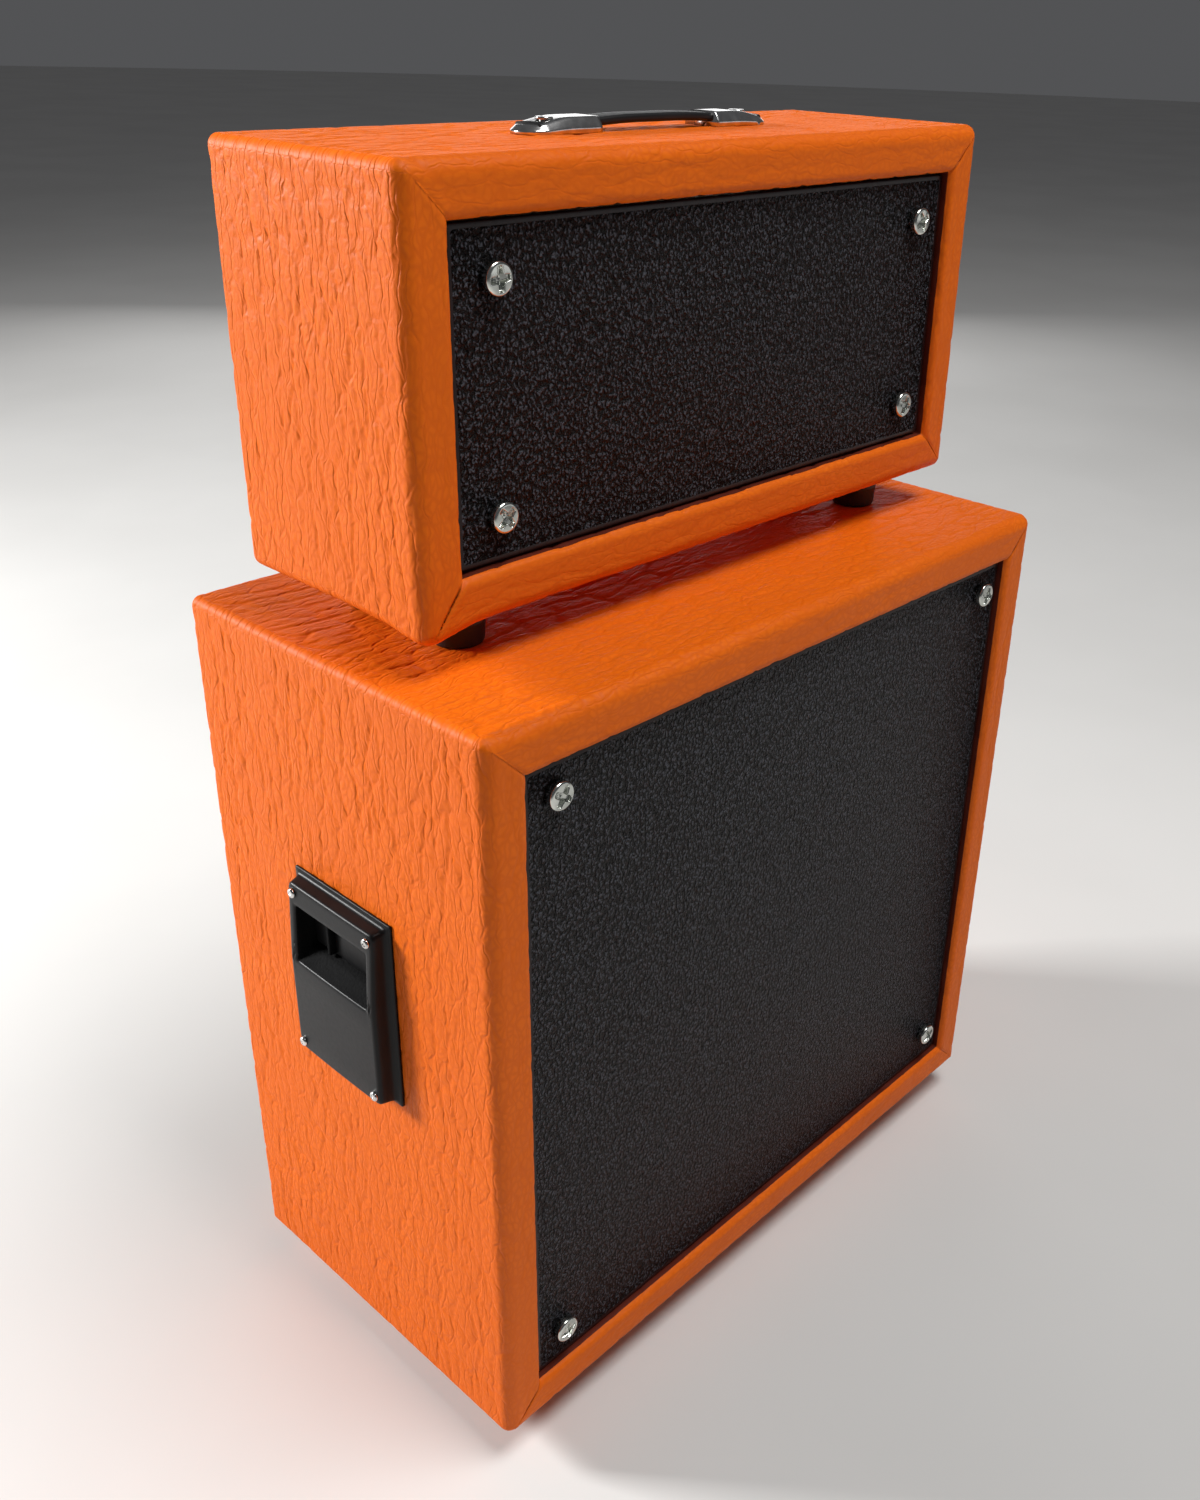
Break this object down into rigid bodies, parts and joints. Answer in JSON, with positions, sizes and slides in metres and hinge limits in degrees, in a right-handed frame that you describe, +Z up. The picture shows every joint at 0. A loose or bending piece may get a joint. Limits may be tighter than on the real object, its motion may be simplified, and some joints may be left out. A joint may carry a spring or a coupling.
{
  "type": "guitar amplifier",
  "caption": "Desktop guitar amplifier: a small amplifier head with a strap handle stands on a wider speaker cabinet with recessed cup handles, both covered in leatherette.",
  "frame": {"origin": "on the resting surface, under the middle of the cabinet's box", "axes": "+Z up, the front faces -Y, +X to the right as seen from the front"},
  "size_m": [0.1648, 0.08, 0.2371],
  "materials": {
    "orange_vinyl": "grained leatherette, satin",
    "board_wood": "unfinished birch plywood",
    "black_board": "black stained plywood",
    "black_grained_panel": "fine haircell grain",
    "zinc_screw": "zinc plated",
    "bright_screw": "polished nickel",
    "black_screw": "black oxide",
    "cup_plastic": "gloss black",
    "strap_black": "black rubberised strap",
    "handle_chrome": "bright chrome",
    "foot_rubber": "moulded black rubber",
    "black_metal": "black powder coat",
    "plated_metal": "nickel plated",
    "chassis_metal": "folded sheet",
    "motor_steel": "zinc passivated steel",
    "ferrite": "dark ceramic",
    "cone_paper": "pressed pulp",
    "treated_cloth": "doped cloth",
    "copper_coil": "enamelled wire",
    "lead_insulation": "soft insulation",
    "knob_plastic": "satin black",
    "black_plastic": "moulded black",
    "lamp_lens": "red lens",
    "board_laminate": "green glass-fibre board",
    "component_black": "sleeved cans and chip",
    "battery_case": "printed metal case, left plain"
  },
  "bodies": {
    "cabinet": {"cab_baffle": "black_board", "cab_battens": "board_wood", "cab_bottom_board": "board_wood", "cab_covering": "orange_vinyl", "cab_feet": "foot_rubber", "cab_foot_screws": "bright_screw", "cab_front_panel": "black_grained_panel", "cab_front_screws": "zinc_screw", "cab_jack_plate": "black_metal", "cab_lower_back": "black_board", "cab_rear_screws": "black_screw", "cab_side_boards": "board_wood", "cab_speaker_jack": "plated_metal", "cab_top_board": "board_wood", "cab_upper_back": "black_board", "cup_handle_screws": "bright_screw", "left_cup_handle": "cup_plastic", "right_cup_handle": "cup_plastic", "speaker_basket": "black_metal", "speaker_gasket": "cone_paper", "speaker_lead": "lead_insulation", "speaker_magnet": "ferrite", "speaker_spider": "treated_cloth", "speaker_surround": "treated_cloth", "speaker_top_plate": "motor_steel", "speaker_yoke": "motor_steel"},
    "head": {"battery": "battery_case", "battery_bay": "black_plastic", "chassis_tray": "chassis_metal", "chip_heat_sink": "chassis_metal", "circuit_board": "board_laminate", "circuit_components": "component_black", "door_hinge_pin": "plated_metal", "handle_end_caps": "handle_chrome", "handle_screws": "bright_screw", "handle_strap": "strap_black", "head_bottom_board": "board_wood", "head_corner_blocks": "board_wood", "head_covering": "orange_vinyl", "head_feet": "foot_rubber", "head_foot_screws": "bright_screw", "head_front_panel": "black_grained_panel", "head_front_screws": "zinc_screw", "head_jacks": "plated_metal", "head_rear_panel": "black_metal", "head_rear_screws": "black_screw", "head_side_boards": "board_wood", "head_top_board": "board_wood", "potentiometers": "plated_metal", "power_lamp": "lamp_lens", "power_socket": "black_plastic", "power_switch_body": "black_plastic"},
    "gain": {"gain_knob": "knob_plastic"},
    "tone": {"tone_knob": "knob_plastic"},
    "volume": {"volume_knob": "knob_plastic"},
    "rocker": {"power_rocker": "black_plastic"},
    "battery_door": {"battery_door": "black_plastic"},
    "cone": {"speaker_cone": "cone_paper", "speaker_dust_cap": "cone_paper", "voice_coil": "copper_coil"}
  },
  "joints": [
    {"name": "head_lift", "type": "slide", "parent": "cabinet", "child": "head", "axis": [0, 0, 1], "range_m": [0, 0.06]},
    {"name": "gain_turn", "type": "hinge", "parent": "head", "child": "gain", "pos_m": [0.031, 0.0255, 0.187], "axis": [0, -1, 0], "range_deg": [-150, 150]},
    {"name": "tone_turn", "type": "hinge", "parent": "head", "child": "tone", "pos_m": [0.0155, 0.0255, 0.187], "axis": [0, -1, 0], "range_deg": [-150, 150]},
    {"name": "volume_turn", "type": "hinge", "parent": "head", "child": "volume", "pos_m": [0, 0.0255, 0.187], "axis": [0, -1, 0], "range_deg": [-150, 150]},
    {"name": "rocker_tilt", "type": "hinge", "parent": "head", "child": "rocker", "pos_m": [-0.023, 0.0245, 0.187], "axis": [1, 0, 0], "range_deg": [0, 20]},
    {"name": "battery_door_swing", "type": "hinge", "parent": "head", "child": "battery_door", "pos_m": [-0.028, 0.0269, 0.20335], "axis": [-1, 0, 0], "range_deg": [0, 100]},
    {"name": "cone_travel", "type": "slide", "parent": "cabinet", "child": "cone", "axis": [0, 1, 0], "range_m": [-0.001, 0.001], "stiffness_N_per_m": 300}
  ]
}
